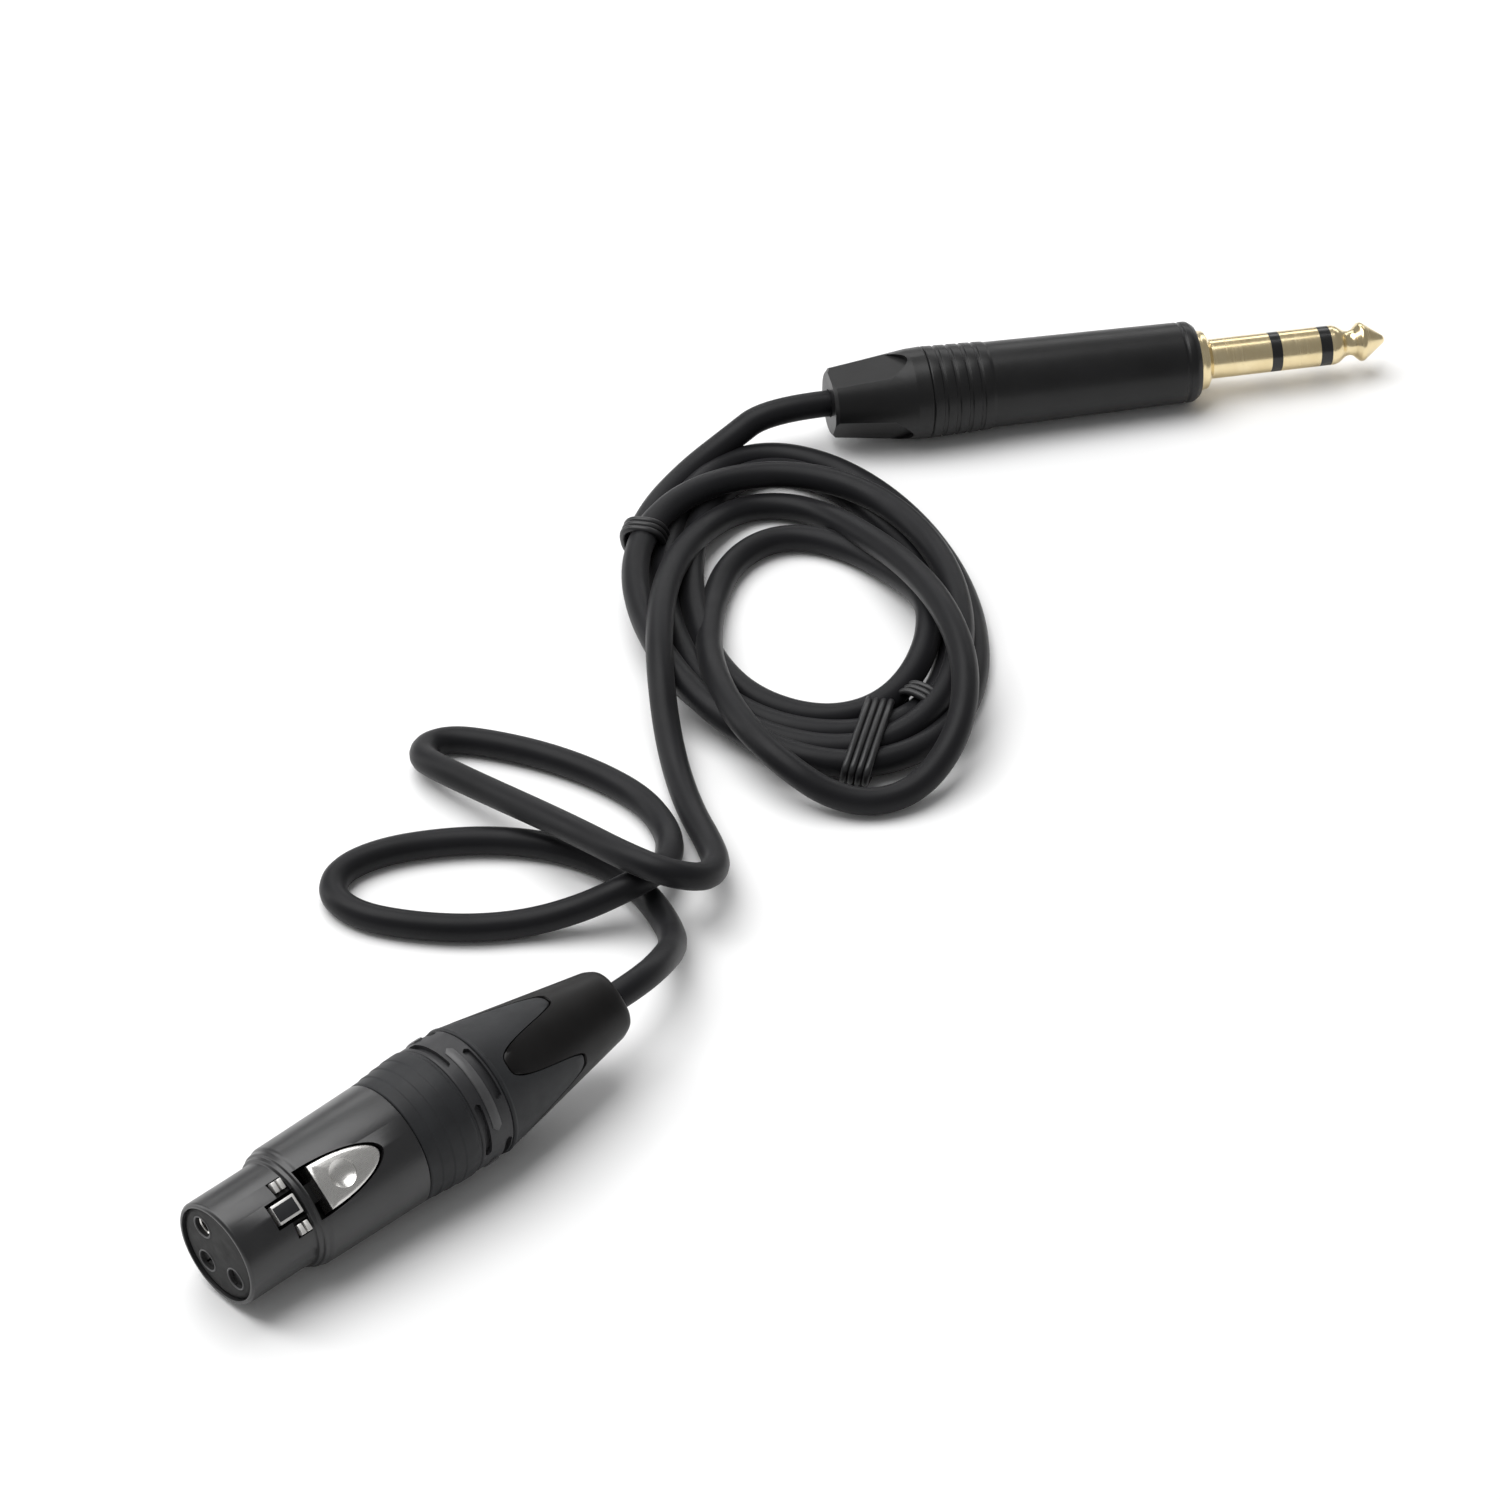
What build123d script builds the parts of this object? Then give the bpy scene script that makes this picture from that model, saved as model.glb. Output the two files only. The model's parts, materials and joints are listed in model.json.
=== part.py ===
"""XLR-to-jack audio cable, lying on a floor with its slack in two loose loops and a tied coil.

Millimetres. The floor is z = 0 and +Z is up. The origin is on the floor, at the middle of the box
round the two connectors. +X runs from the XLR socket's end to the jack plug's end.

Each connector has a frame of its own whose Z runs along the connector. The XLR frame starts at the
front face and runs back to the cable. The jack frame starts at the cable and runs to the tip. In the
XLR frame +Y points to the latch.
"""
from build123d import *
from math import asin, cos, degrees, radians, sin, tan
import os

os.makedirs("parts", exist_ok=True)

# ---- cable ----
CABLE_R = 2.1                      # jacket radius
CORE_R = 0.6                       # one insulated core
JOINT_LAP = 0.3                    # a core's soldered or buried end overlaps by this
BORE_GAP = 0.15                    # running gap round the jacket where it passes through a boot

# ---- XLR socket: radii and stations from the front face ----
XLR_LENGTH = 71.5
XLR_HEADING = 42.7                 # direction of the connector's rear end, seen from above
XLR_ROLL = 39.0                    # the latch leans this far from straight up
XLR_FRONT = (-84.5, -104.05)
BARREL_R = 8.0
BARREL_WALL = 0.75
BARREL_END = 11.3
SHOULDER_R = 9.2
SHOULDER_END = 13.3
SHELL_R = 9.4
SHELL_END = 30.5
THREAD_R = 7.7                     # screw joint between the shell and the gland nut
THREAD_FRONT = 25.5
GRIP_END = 39.2
COLLAR_R = 10.1
COLLAR_END = 46.0
BOOT_END_R = 5.2
WAVE_MID = 54.5                    # wavy seam between the nut's hard cone and its soft sleeve
WAVE_HEIGHT = 6.5
INSERT_FRONT = 0.9
INSERT_END = 20.5
CONTACT_CIRCLE_R = 4.2
SOCKET_R = 1.22                    # takes a 2.4 mm pin
SOCKET_OUTER_R = 1.85
SOCKET_DEPTH = 13.0
JACKET_START = 33.0                # the jacket ends here inside the connector

# ---- latch ----
HOOK_FRONT = 6.9
HOOK_BACK = 10.9
HOOK_HALF = 1.45
TAB_FRONT = 14.4
TAB_BACK = 25.0
TAB_HALF = 3.6
SLOT_GAP = 0.3

# ---- jack plug: radii and stations from the cable end ----
JACK_FRONT = 59.8                  # front face of the shell
JACK_HEADING = 12.3
JACK_REAR = (0.5, 89.2)
JACK_BOOT_R = 5.55
JACK_SHOULDER_R = 7.3
JACK_NOSE_R = 6.45
JACK_SEAM = 15.5
JACK_RIDGE_END = 25.3
FINGER_R = 3.175                   # 6.35 mm plug
COLLAR_LENGTH = 2.4
SLEEVE_END = 71.9
RING_1_END = 73.65
RING_BAND_END = 80.05
RING_2_END = 81.95
TIP_END = 91.3
BALL_R = 3.12                      # widest place of the tip, just under the finger's radius
ROD_R = 1.1
RING_TUBE_R = 1.7
JACK_JACKET_END = 24.0             # the jacket ends here inside the plug

# ---- route of the free cable, from the XLR boot to the coil and from the coil to the jack ----
LEAD = [
    (-27.5, -51.5, 11.4), (-24.2, -44.6, 9.4), (-22.8, -36.8, 5.4), (-24.0, -29.2, 2.6),
    (-27.4, -21.8, 2.1), (-32.8, -15.6, 2.1), (-40.4, -11.6, 2.1), (-49.0, -10.0, 2.1),
    (-58.0, -10.6, 2.1), (-66.4, -12.8, 2.1), (-72.2, -17.0, 2.1), (-73.2, -22.4, 2.1),
    (-69.2, -26.8, 2.1), (-61.6, -29.0, 2.1), (-52.8, -29.8, 2.1), (-44.4, -28.7, 2.1),
    (-36.6, -27.6, 4.0), (-29.8, -26.2, 6.9), (-25.6, -22.6, 6.9), (-23.8, -16.0, 3.4),
    (-23.8, -8.8, 2.1), (-27.4, -1.4, 2.1), (-34.2, 4.6, 2.1), (-42.4, 9.2, 2.1),
    (-50.4, 12.0, 2.1), (-56.6, 13.2, 2.1), (-60.4, 11.2, 2.4), (-61.0, 7.2, 3.4),
    (-58.2, 3.4, 4.6), (-51.6, -2.2, 5.4), (-44.0, -9.4, 7.2), (-36.8, -17.0, 9.4),
    (-30.4, -24.0, 11.2), (-24.4, -27.8, 11.2), (-18.8, -26.2, 8.6), (-16.6, -20.4, 5.8),
    (-18.0, -12.4, 3.6), (-20.6, -4.0, 2.1), (-22.8, 4.6, 2.1), (-24.4, 12.6, 4.0),
    (-25.4, 20.4, 7.4),
]
TAIL = [(-22.0, 77.6, 2.6), (-14.4, 84.4, 4.8), (-6.4, 87.7, 7.6)]

# ---- coil ----
COIL_CENTRE = (-3.6, 41.2)
COIL_HALF = (27.8, 44.6)
COIL_HOLE_CENTRE = (-1.0, 39.5)
COIL_HOLE_HALF = (14.5, 20.0)
COIL_LEAN = 8.0                    # the oval leans this far to the left at its far end
COIL_HEIGHT = 12.0
TIE_R = 0.55                       # thin cord that ties the coil
TIE_ROUNDS = 3


def tilt_to_rest(big_r, small_r, distance):
    """Angle at which a stepped round body rests on its large ring and on a smaller one."""
    return degrees(asin((big_r - small_r) / distance))


def direction(heading, climb):
    """Unit vector at a compass heading in the floor plane and an angle above it."""
    flat = cos(radians(climb))
    return Vector(flat * cos(radians(heading)), flat * sin(radians(heading)), sin(radians(climb)))


XLR_TILT = tilt_to_rest(COLLAR_R, SHOULDER_R, GRIP_END - SHOULDER_END)
XLR_BACK = direction(XLR_HEADING, XLR_TILT)
xlr_height = SHOULDER_R * cos(radians(XLR_TILT)) - SHOULDER_END * sin(radians(XLR_TILT))
level = direction(XLR_HEADING + 90, 0)
upward = XLR_BACK.cross(level)
XLR = Plane(
    origin=(*XLR_FRONT, xlr_height),
    x_dir=level * cos(radians(XLR_ROLL)) + upward * sin(radians(XLR_ROLL)),
    z_dir=XLR_BACK,
)

JACK_TILT = tilt_to_rest(JACK_SHOULDER_R, JACK_NOSE_R, JACK_FRONT - JACK_SEAM)
JACK_FORWARD = direction(JACK_HEADING, -JACK_TILT)
jack_height = JACK_SHOULDER_R * cos(radians(JACK_TILT)) + JACK_SEAM * sin(radians(JACK_TILT))
JACK = Plane(
    origin=(*JACK_REAR, jack_height),
    x_dir=direction(JACK_HEADING + 90, 0),
    z_dir=JACK_FORWARD,
)


def side_plane(frame):
    """Plane through a connector's axis: local X runs along the axis, local Y is the radius."""
    return Plane(origin=frame.origin, x_dir=frame.z_dir, z_dir=-frame.x_dir)


def turned(frame, outline, mode=Mode.ADD):
    """Turn a closed outline of (station, radius) points about the connector's axis."""
    with BuildSketch(side_plane(frame)) as profile:
        with BuildLine():
            Polyline(*outline, close=True)
        make_face()
    revolve(profile.sketch, axis=Axis(frame.origin, frame.z_dir), mode=mode)


def ring_of(frame, start, end, outer, inner, mode=Mode.ADD):
    """Plain tube between two stations."""
    with BuildSketch(frame.offset(start)) as profile:
        Circle(outer)
        if inner > 0:
            Circle(inner, mode=Mode.SUBTRACT)
    extrude(profile.sketch, amount=end - start, mode=mode)


def block(frame, start, end, x_size, y_low, y_high, x_mid=0.0, mode=Mode.ADD):
    """Straight bar along the connector between two stations."""
    with BuildSketch(frame.offset(start)) as profile:
        with Locations((x_mid, (y_low + y_high) / 2)):
            Rectangle(x_size, y_high - y_low)
    extrude(profile.sketch, amount=end - start, mode=mode)


def save(node, name):
    """Label a finished piece and write it."""
    node.part.label = name
    export_step(node.part, f"parts/{name}.step")
    print(f"{name:24s} {node.part.volume:10.2f} mm3")


# =====================================================================================
# XLR socket
# =====================================================================================

def ogive(front, back, half, grow=0.0):
    """Outline of the push tab seen from above: straight front edge, sides that close to a round tip."""
    length = back - front
    side = [
        (front - grow, half + grow),
        (front + 0.40 * length, 0.84 * half + grow),
        (front + 0.75 * length, 0.50 * half + grow),
        (back + grow, 0),
    ]
    Line((front - grow, -half - grow), (front - grow, half + grow))
    Spline(*side, tangents=((1, -0.12), (0, -1)))
    Spline(*[(station, -across) for station, across in reversed(side)],
           tangents=((0, -1), (-1, -0.12)))


LATCH_TOP = Plane(origin=XLR.origin, x_dir=XLR.z_dir, z_dir=XLR.y_dir)

# Metal shell: front barrel, double step, wide body, female thread for the gland nut.
with BuildPart() as xlr_shell:
    turned(XLR, [
        (0.0, BARREL_R - 0.35), (0.35, BARREL_R), (BARREL_END, BARREL_R),
        (BARREL_END, 8.4), (BARREL_END + 0.7, 8.55), (BARREL_END + 0.7, 8.8),
        (BARREL_END + 1.4, 8.95), (SHOULDER_END, SHOULDER_R), (SHELL_END, SHELL_R),
        (SHELL_END, THREAD_R), (THREAD_FRONT, THREAD_R),
        (THREAD_FRONT, BARREL_R - BARREL_WALL), (0.0, BARREL_R - BARREL_WALL),
    ])
    with BuildSketch(LATCH_TOP.offset(4.0)):
        with BuildLine():
            ogive(TAB_FRONT - 1.7, TAB_BACK, TAB_HALF, SLOT_GAP)
        make_face()
    extrude(amount=8.0, mode=Mode.SUBTRACT)
    block(XLR, HOOK_FRONT - 0.4, HOOK_BACK + 0.3, 2 * HOOK_HALF + 0.6, 5.0, 10.0,
          mode=Mode.SUBTRACT)
    for side in (-1, 1):
        block(XLR, 8.9, 11.0, 1.7, 5.0, 8.3, x_mid=side * 3.35, mode=Mode.SUBTRACT)
save(xlr_shell, "xlr_shell")

# Insulating insert with three sockets and a channel for the latch.
CONTACT_ANGLES = (5, 175, 270)


def contact_place(angle):
    return (CONTACT_CIRCLE_R * cos(radians(angle)), CONTACT_CIRCLE_R * sin(radians(angle)))


with BuildPart() as xlr_insert:
    ring_of(XLR, INSERT_FRONT, INSERT_END, BARREL_R - BARREL_WALL, 0)
    with BuildSketch(XLR.offset(INSERT_FRONT)):
        for contact_angle in CONTACT_ANGLES:
            with Locations(contact_place(contact_angle)):
                Circle(SOCKET_OUTER_R)
    extrude(amount=INSERT_END - INSERT_FRONT, mode=Mode.SUBTRACT)
    block(XLR, INSERT_FRONT, INSERT_FRONT + 5.0, 1.8, 4.3, 5.2, mode=Mode.SUBTRACT)
    block(XLR, HOOK_FRONT - 0.9, TAB_FRONT, 2 * HOOK_HALF + 1.0, 3.8, 8.0, mode=Mode.SUBTRACT)
    block(XLR, TAB_FRONT - 2.2, INSERT_END, 2 * TAB_HALF + 1.2, 4.4, 8.0, mode=Mode.SUBTRACT)
    for side in (-1, 1):
        block(XLR, 8.4, 11.4, 2.0, 5.6, 8.0, x_mid=side * 3.35, mode=Mode.SUBTRACT)
save(xlr_insert, "xlr_insert")

# Three socket contacts, each a tube with a closed floor and a solder cup behind.
for number, contact_angle in enumerate(CONTACT_ANGLES, start=1):
    place = contact_place(contact_angle)
    socket = Plane(origin=XLR.from_local_coords(Vector(*place, 0)), x_dir=XLR.x_dir,
                   z_dir=XLR.z_dir)
    with BuildPart() as xlr_contact:
        turned(socket, [
            (INSERT_FRONT, SOCKET_R + 0.25), (INSERT_FRONT + 0.25, SOCKET_R),
            (INSERT_FRONT + SOCKET_DEPTH, SOCKET_R), (INSERT_FRONT + SOCKET_DEPTH, 0),
            (INSERT_END + 2.0, 0), (INSERT_END + 2.0, 0.8), (INSERT_END + 5.0, 0.8),
            (INSERT_END + 5.0, 1.3), (INSERT_END, 1.3), (INSERT_END, SOCKET_OUTER_R),
            (INSERT_FRONT, SOCKET_OUTER_R),
        ])
    save(xlr_contact, f"xlr_contact_{number}")

# Latch lever: hook in the barrel's window, neck, and the push tab.
with BuildPart() as xlr_latch:
    block(XLR, HOOK_FRONT, TAB_FRONT + 1.0, 2 * HOOK_HALF, 5.5, 6.5)
    with BuildSketch(side_plane(XLR)):
        with BuildLine():
            Polyline((HOOK_FRONT, 6.5), (HOOK_FRONT, 7.7), (HOOK_FRONT + 1.0, 8.35),
                     (HOOK_BACK - 0.1, 8.35), (HOOK_BACK - 0.1, 6.5), close=True)
        make_face()
    extrude(amount=HOOK_HALF, both=True)
    with BuildSketch(LATCH_TOP.offset(5.5)):
        with BuildLine():
            ogive(TAB_FRONT, TAB_BACK - 0.2, TAB_HALF - 0.15)
        make_face()
    extrude(amount=3.75)
    with BuildSketch(XLR.offset(TAB_FRONT - 1)):
        Circle(12)
        Circle(SHELL_R - 0.1, mode=Mode.SUBTRACT)
    extrude(amount=TAB_BACK - TAB_FRONT + 2, mode=Mode.SUBTRACT)
    with BuildSketch(LATCH_TOP.offset(SHELL_R - 0.45)):
        with Locations((TAB_FRONT + 3.9, 0)):
            Circle(2.1)
    extrude(amount=2, mode=Mode.SUBTRACT)
save(xlr_latch, "xlr_latch")

# Bowed leaf spring under the tab.
with BuildPart() as xlr_latch_spring:
    with BuildSketch(side_plane(XLR)):
        with BuildLine():
            ThreePointArc((15.5, 4.4), (18.0, 4.75), (20.3, 4.4))
            Line((20.3, 4.4), (20.3, 4.65))
            ThreePointArc((20.3, 4.65), (18.0, 5.0), (15.5, 4.65))
            Line((15.5, 4.65), (15.5, 4.4))
        make_face()
    extrude(amount=1.4, both=True)
save(xlr_latch_spring, "xlr_latch_spring")

# Two ground contact lugs beside the hook, each a pair of bars on a foot.
with BuildPart() as xlr_ground_lugs:
    for side in (-1, 1):
        block(XLR, 9.1, 10.9, 1.3, 5.6, 6.7, x_mid=side * 3.35)
        for bar in (9.1, 10.15):
            block(XLR, bar, bar + 0.75, 1.3, 6.7, 7.45, x_mid=side * 3.35)
save(xlr_ground_lugs, "xlr_ground_lugs")

# Gland nut: threaded nose, stepped grip, groove for the coding ring, hard cone with four petals.
NUT_CAVITY_R = 6.2
BOOT_BORE_R = CABLE_R + BORE_GAP
SLEEVE_R = 3.9                     # inner wall of the petals
PETAL_ROOT = WAVE_MID - WAVE_HEIGHT
PETAL_TIP = WAVE_MID + WAVE_HEIGHT
PETAL_COUNT = 4


def boot_radius(station):
    """Outer radius of the boot's cone."""
    share = (station - COLLAR_END) / (XLR_LENGTH - COLLAR_END)
    return COLLAR_R - 0.25 + (BOOT_END_R + 0.25 - COLLAR_R) * share


petals = []
for petal_number in range(PETAL_COUNT):
    petal_angle = radians(45 + 360 * petal_number / PETAL_COUNT)
    petal_plane = Plane(
        origin=XLR.origin,
        x_dir=XLR.z_dir,
        z_dir=XLR.x_dir * cos(petal_angle) + XLR.y_dir * sin(petal_angle),
    )
    with BuildPart() as petal:
        with BuildSketch(petal_plane):
            with BuildLine():
                Line((PETAL_ROOT, -6.3), (PETAL_ROOT, 6.3))
                Spline((PETAL_ROOT, 6.3), (52.5, 4.9), (58.0, 2.9), (PETAL_TIP, 0),
                       tangents=((0.4, -1), (0, -1)))
                Spline((PETAL_TIP, 0), (58.0, -2.9), (52.5, -4.9), (PETAL_ROOT, -6.3),
                       tangents=((0, -1), (-0.4, -1)))
            make_face()
        extrude(amount=14)
        turned(XLR, [
            (PETAL_ROOT, SLEEVE_R), (PETAL_ROOT, boot_radius(PETAL_ROOT)),
            (PETAL_TIP + 1, boot_radius(PETAL_TIP + 1)), (PETAL_TIP + 1, SLEEVE_R),
        ], mode=Mode.INTERSECT)
    petals.append(petal.part)

with BuildPart() as xlr_gland_nut:
    turned(XLR, [
        (THREAD_FRONT + 0.8, THREAD_R - 0.05), (SHELL_END, THREAD_R - 0.05),
        (SHELL_END, SHELL_R - 0.2), (SHELL_END + 0.25, SHELL_R),
        (32.6, 9.45), (32.6, 9.6), (34.6, 9.65), (34.6, 9.8), (36.6, 9.85), (36.6, 9.95),
        (GRIP_END - 0.2, 10.0), (GRIP_END, 9.7), (GRIP_END + 0.4, 9.7),
        (GRIP_END + 0.4, 8.7), (COLLAR_END - 0.7, 8.7), (COLLAR_END - 0.7, 9.75),
        (COLLAR_END - 0.35, COLLAR_R - 0.1), (COLLAR_END, boot_radius(COLLAR_END)),
        (PETAL_ROOT, boot_radius(PETAL_ROOT)), (PETAL_ROOT, SLEEVE_R),
        (COLLAR_END, NUT_CAVITY_R), (THREAD_FRONT + 0.8, NUT_CAVITY_R),
    ])
    for petal_part in petals:
        add(petal_part)
save(xlr_gland_nut, "xlr_gland_nut")

# Soft rear sleeve of the boot: it fills in between the petals and reaches the cable's exit.
with BuildPart() as xlr_boot_sleeve:
    turned(XLR, [
        (PETAL_ROOT, SLEEVE_R), (PETAL_ROOT, boot_radius(PETAL_ROOT)),
        (XLR_LENGTH - 1.0, boot_radius(XLR_LENGTH - 1.0)), (XLR_LENGTH - 0.3, BOOT_END_R - 0.35),
        (XLR_LENGTH, BOOT_END_R - 1.1), (XLR_LENGTH, BOOT_BORE_R),
        (PETAL_TIP - 6, BOOT_BORE_R), (PETAL_TIP - 6, SLEEVE_R),
    ])
    for petal_part in petals:
        add(petal_part, mode=Mode.SUBTRACT)
save(xlr_boot_sleeve, "xlr_boot_sleeve")

# Coding ring: snaps in the nut's groove; two staggered rows of slots and a raised bar between.
with BuildPart() as xlr_coding_ring:
    turned(XLR, [
        (GRIP_END + 0.42, 8.72), (GRIP_END + 0.42, 9.8), (41.7, 9.85), (41.9, 10.05),
        (43.1, 10.05), (43.3, 9.85), (COLLAR_END - 0.72, 9.8), (COLLAR_END - 0.72, 8.72),
    ])
    for row_start, first_angle in ((40.1, 20), (43.7, 65)):
        with BuildSketch(XLR.offset(row_start)):
            with PolarLocations(9.9, 4, start_angle=first_angle):
                Rectangle(1.6, 7.0)
        extrude(amount=1.0, mode=Mode.SUBTRACT)
save(xlr_coding_ring, "xlr_coding_ring")

# Chuck: collet round the jacket, pushed home by the nut.
with BuildPart() as xlr_chuck:
    turned(XLR, [
        (33.6, CABLE_R + 0.06), (33.6, 5.9), (44.6, 5.9), (46.6, 3.7), (46.6, CABLE_R + 0.06),
    ])
    block(XLR, 38.0, 47.0, 13.0, -0.4, 0.4, mode=Mode.SUBTRACT)
    block(XLR, 38.0, 47.0, 0.8, -6.5, 6.5, mode=Mode.SUBTRACT)
save(xlr_chuck, "xlr_chuck")

# Stripped end of the cable inside the socket, and its cores.
with BuildPart() as xlr_cable_end:
    ring_of(XLR, JACKET_START, XLR_LENGTH, CABLE_R, 0)
save(xlr_cable_end, "xlr_cable_end")

with BuildPart() as xlr_cores:
    for contact_angle in CONTACT_ANGLES:
        outer = contact_place(contact_angle)
        inner = (0.2 * outer[0], 0.2 * outer[1])
        with BuildLine() as core_path:
            Line(
                XLR.from_local_coords(Vector(*outer, INSERT_END + 2.6)),
                XLR.from_local_coords(Vector(*inner, JACKET_START + JOINT_LAP)),
            )
        with BuildSketch(Plane(core_path.line @ 0, z_dir=core_path.line % 0)):
            Circle(CORE_R)
        sweep(path=core_path.line)
save(xlr_cores, "xlr_cores")

# =====================================================================================
# Jack plug
# =====================================================================================

# Boot: screws into the shell, with three long scallops.
with BuildPart() as jack_boot:
    turned(JACK, [
        (0.0, BOOT_BORE_R), (0.0, JACK_BOOT_R - 0.6), (0.5, JACK_BOOT_R),
        (JACK_SEAM - 2.5, 7.2), (JACK_SEAM - 0.2, 7.3), (JACK_SEAM, 7.15), (JACK_SEAM, 5.75),
        (22.5, 5.75), (22.5, 4.7), (13.0, 4.7), (11.0, BOOT_BORE_R),
    ])
    scallops = 3
    for scallop in range(scallops):
        scallop_angle = radians(90 + 360 * scallop / scallops)
        outward = JACK.x_dir * cos(scallop_angle) + JACK.y_dir * sin(scallop_angle)
        tilt = radians(7)
        face_dir = outward * cos(tilt) - JACK.z_dir * sin(tilt)
        along = JACK.z_dir * cos(tilt) + outward * sin(tilt)
        scallop_plane = Plane(
            origin=JACK.origin + outward * 4.75,
            x_dir=along,
            z_dir=face_dir,
        )
        with BuildSketch(scallop_plane):
            with BuildLine():
                Polyline((-2, 4.6), (-2, -4.6), (4, -4.6))
                Spline((4, -4.6), (9.5, -3.2), (12.6, 0), (9.5, 3.2), (4, 4.6),
                       tangents=((1, 0), (-1, 0)))
                Line((4, 4.6), (-2, 4.6))
            make_face()
        extrude(amount=5, mode=Mode.SUBTRACT)
save(jack_boot, "jack_boot")

# Metal shell: ridged grip, tapered sleeve, chamfered nose.
ridge_count = 4
ridge_pitch = (JACK_RIDGE_END - JACK_SEAM - 1.6) / ridge_count
shell_outline = [(JACK_SEAM, 5.8), (JACK_SEAM, 7.1), (JACK_SEAM + 0.2, JACK_SHOULDER_R)]
for ridge in range(ridge_count):
    ridge_start = JACK_SEAM + 1.6 + ridge * ridge_pitch
    land_r = JACK_SHOULDER_R - 0.06 * (ridge + 1)
    shell_outline += [
        (ridge_start, land_r), (ridge_start + 0.3, land_r - 0.22),
        (ridge_start + 0.9, land_r - 0.22), (ridge_start + 1.3, land_r),
    ]
shell_outline += [
    (JACK_RIDGE_END, 7.0), (JACK_RIDGE_END + 0.3, 6.85), (JACK_FRONT - 2.6, JACK_NOSE_R),
    (JACK_FRONT - 2.3, JACK_NOSE_R - 0.1), (JACK_FRONT - 1.9, JACK_NOSE_R),
    (JACK_FRONT - 0.7, JACK_NOSE_R), (JACK_FRONT, JACK_NOSE_R - 0.7),
    (JACK_FRONT, 4.2), (JACK_FRONT - 3.0, 4.2), (JACK_FRONT - 3.0, 5.8),
]
with BuildPart() as jack_shell:
    turned(JACK, shell_outline)
save(jack_shell, "jack_shell")

# Insulating liner between the shell and the solder lugs.
with BuildPart() as jack_liner:
    ring_of(JACK, 27.0, JACK_FRONT - 6.0, 5.8, 5.25)
save(jack_liner, "jack_liner")

# Chuck round the cable, pushed home by the boot.
with BuildPart() as jack_chuck:
    turned(JACK, [
        (12.6, CABLE_R + 0.06), (12.6, 3.6), (13.6, 4.6), (22.2, 4.6), (22.2, CABLE_R + 0.06),
    ])
    block(JACK, 12.0, 18.0, 10.0, -0.35, 0.35, mode=Mode.SUBTRACT)
    block(JACK, 12.0, 18.0, 0.7, -5.0, 5.0, mode=Mode.SUBTRACT)
save(jack_chuck, "jack_chuck")

# Gold sleeve contact with its flared collar and a flange held in the shell.
with BuildPart() as jack_sleeve_contact:
    turned(JACK, [
        (JACK_FRONT - 6.0, 2.4), (JACK_FRONT - 6.0, 5.7), (JACK_FRONT - 3.05, 5.7),
        (JACK_FRONT - 3.05, 4.15), (JACK_FRONT + 0.6, 4.15), (JACK_FRONT + 1.0, 4.6),
        (JACK_FRONT + 1.5, 4.6), (JACK_FRONT + COLLAR_LENGTH, FINGER_R),
        (SLEEVE_END, FINGER_R), (SLEEVE_END, 2.4),
    ])
save(jack_sleeve_contact, "jack_sleeve_contact")

# Insulating bushes: one long one inside the sleeve contact, one inside the ring contact.
with BuildPart() as jack_long_bush:
    ring_of(JACK, JACK_FRONT - 8.0, SLEEVE_END, 2.4, RING_TUBE_R)
save(jack_long_bush, "jack_long_bush")

with BuildPart() as jack_insulator_1:
    ring_of(JACK, SLEEVE_END, RING_1_END, FINGER_R, RING_TUBE_R)
save(jack_insulator_1, "jack_insulator_1")

with BuildPart() as jack_ring_contact:
    turned(JACK, [
        (JACK_FRONT - 10.0, 1.35), (JACK_FRONT - 10.0, RING_TUBE_R), (RING_1_END, RING_TUBE_R),
        (RING_1_END, FINGER_R), (RING_BAND_END, FINGER_R), (RING_BAND_END, 1.35),
    ])
save(jack_ring_contact, "jack_ring_contact")

with BuildPart() as jack_inner_bush:
    ring_of(JACK, JACK_FRONT - 11.0, RING_BAND_END, 1.35, ROD_R)
save(jack_inner_bush, "jack_inner_bush")

with BuildPart() as jack_insulator_2:
    ring_of(JACK, RING_BAND_END, RING_2_END, FINGER_R, ROD_R)
save(jack_insulator_2, "jack_insulator_2")

# Gold tip: short cone, waist, ball, pointed nose, on a rod that runs back through the bushes.
with BuildPart() as jack_tip_contact:
    with BuildSketch(side_plane(JACK)):
        with BuildLine():
            Polyline((JACK_FRONT - 14.0, 0), (JACK_FRONT - 14.0, ROD_R), (RING_2_END, ROD_R),
                     (RING_2_END, FINGER_R), (RING_2_END + 0.6, FINGER_R))
            Spline((RING_2_END + 0.6, FINGER_R), (84.6, 2.15), (85.6, 2.0), (86.3, 2.4),
                   tangents=((1, -0.1), (0.7, 1)))
            Line((86.3, 2.4), (86.95, BALL_R - 0.12))
            ThreePointArc((86.95, BALL_R - 0.12), (87.35, BALL_R), (87.8, BALL_R - 0.15))
            Line((87.8, BALL_R - 0.15), (90.9, 0.75))
            Spline((90.9, 0.75), (TIP_END, 0), tangents=((0.7, -0.6), (0, -1)))
            Line((TIP_END, 0), (JACK_FRONT - 14.0, 0))
        make_face()
    revolve(axis=Axis(JACK.origin, JACK.z_dir))
save(jack_tip_contact, "jack_tip_contact")

# Solder lugs on the three contacts.
with BuildPart() as jack_lugs:
    block(JACK, 34.0, JACK_FRONT - 14.0, 2.2, -0.3, 0.3)
    block(JACK, 36.5, JACK_FRONT - 10.0, 2.0, 2.0, 2.5)
    block(JACK, 45.0, JACK_FRONT - 10.0, 2.0, 1.55, 2.0)
    block(JACK, 38.0, JACK_FRONT - 6.0, 3.0, -4.2, -3.6)
save(jack_lugs, "jack_lugs")

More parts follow.
